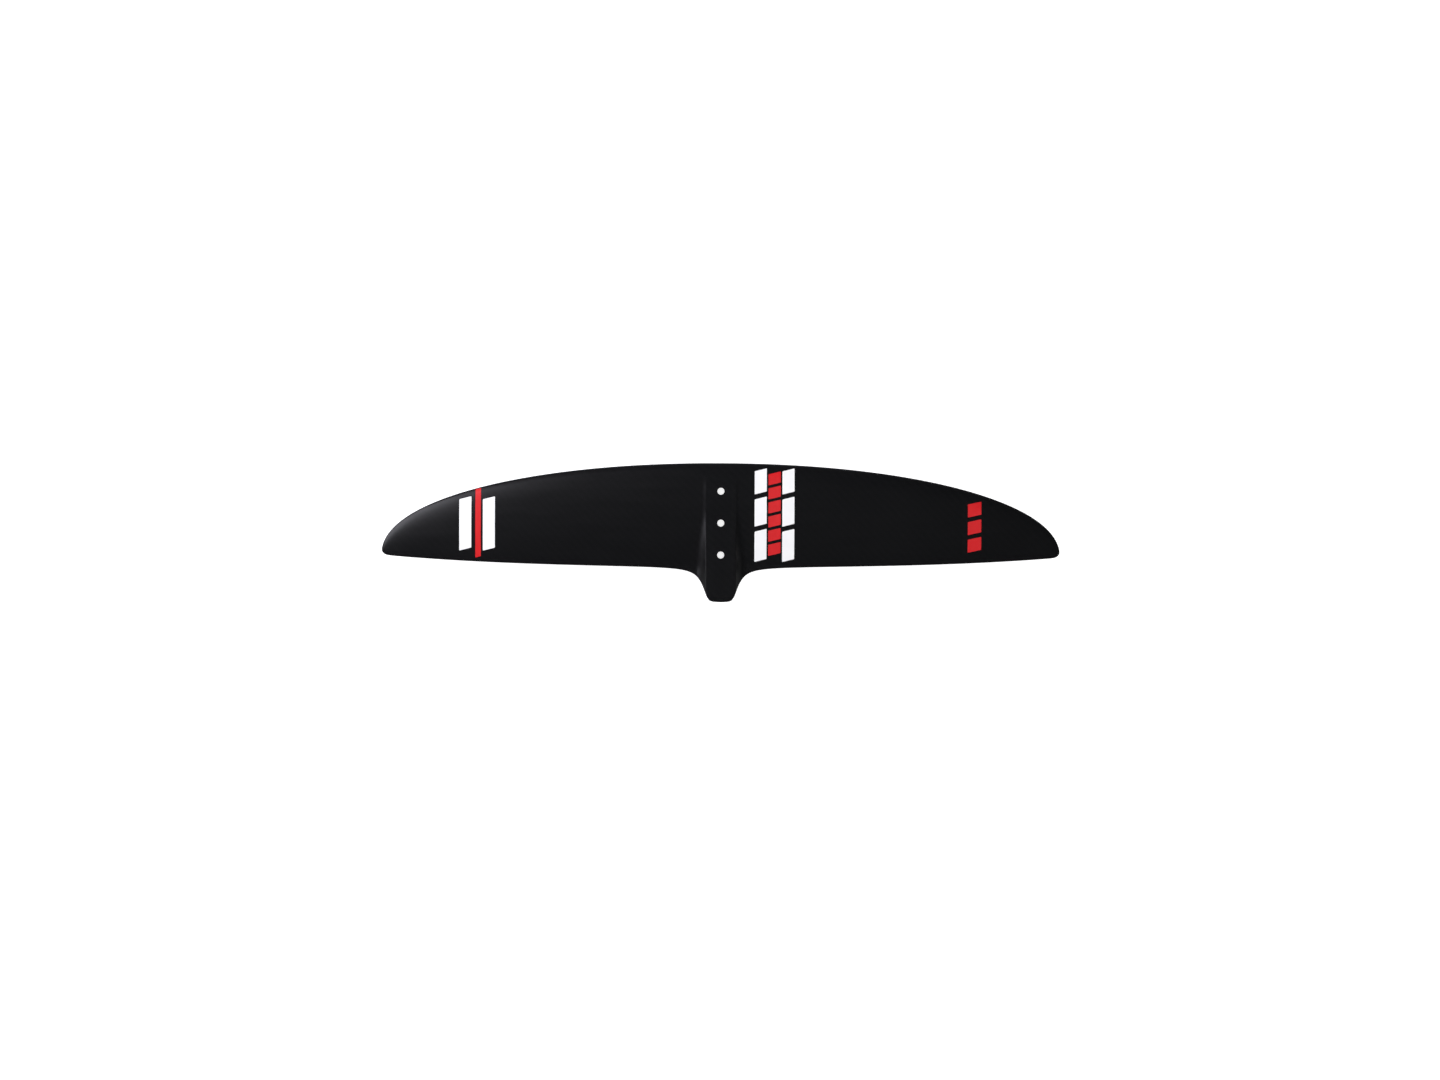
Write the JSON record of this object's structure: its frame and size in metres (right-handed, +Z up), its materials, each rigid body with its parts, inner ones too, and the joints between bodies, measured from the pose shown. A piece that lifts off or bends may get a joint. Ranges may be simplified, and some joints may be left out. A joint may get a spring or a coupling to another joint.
{
  "type": "hydrofoil front wing",
  "caption": "Swept, drooped hydrofoil front wing with a flat raised fuselage seat, an aft mounting tab and a line of countersunk screw holes; black shell with plain white and red bars.",
  "frame": {"origin": "under the middle of the wing's plan outline, level with its lowest point, which is at the tips", "axes": "+X along the span to the side with the broad printed bands, +Y forwards, towards the leading edge, +Z up, the suction side with the fuselage seat"},
  "size_m": [0.675, 0.1382, 0.0221],
  "materials": {
    "satin_carbon": "satin black clear coat over carbon laminate",
    "solid_laminate": "bare pressed carbon laminate",
    "spar_carbon": "unidirectional carbon, as cured",
    "core_foam": "closed-cell core foam",
    "stainless": "turned stainless steel",
    "white_print": "white printed film under satin clear coat",
    "red_print": "red printed film under satin clear coat"
  },
  "bodies": {
    "root": {"upper_skin": "satin_carbon", "lower_skin": "satin_carbon", "centre_block": "solid_laminate", "spar_cap_upper": "spar_carbon", "spar_cap_lower": "spar_carbon", "spar_web_left": "spar_carbon", "spar_web_right": "spar_carbon", "nose_core_left": "core_foam", "nose_core_right": "core_foam", "aft_core_left": "core_foam", "aft_core_right": "core_foam", "leading_edge_tow": "solid_laminate", "trailing_edge_strip_left": "solid_laminate", "trailing_edge_strip_right": "solid_laminate", "tip_block_left": "solid_laminate", "tip_block_right": "solid_laminate", "screw_cup_front": "stainless", "screw_cup_middle": "stainless", "screw_cup_rear": "stainless", "left_bar_outer": "white_print", "left_bar_red": "red_print", "left_bar_inner": "white_print", "band_inner_front": "white_print", "band_outer_front": "white_print", "band_inner_middle": "white_print", "band_outer_middle": "white_print", "band_inner_rear": "white_print", "band_outer_rear": "white_print", "band_red_1": "red_print", "band_red_2": "red_print", "band_red_3": "red_print", "band_red_4": "red_print", "band_red_5": "red_print", "band_red_6": "red_print", "right_mark_front": "red_print", "right_mark_middle": "red_print", "right_mark_rear": "red_print"}
  },
  "joints": []
}
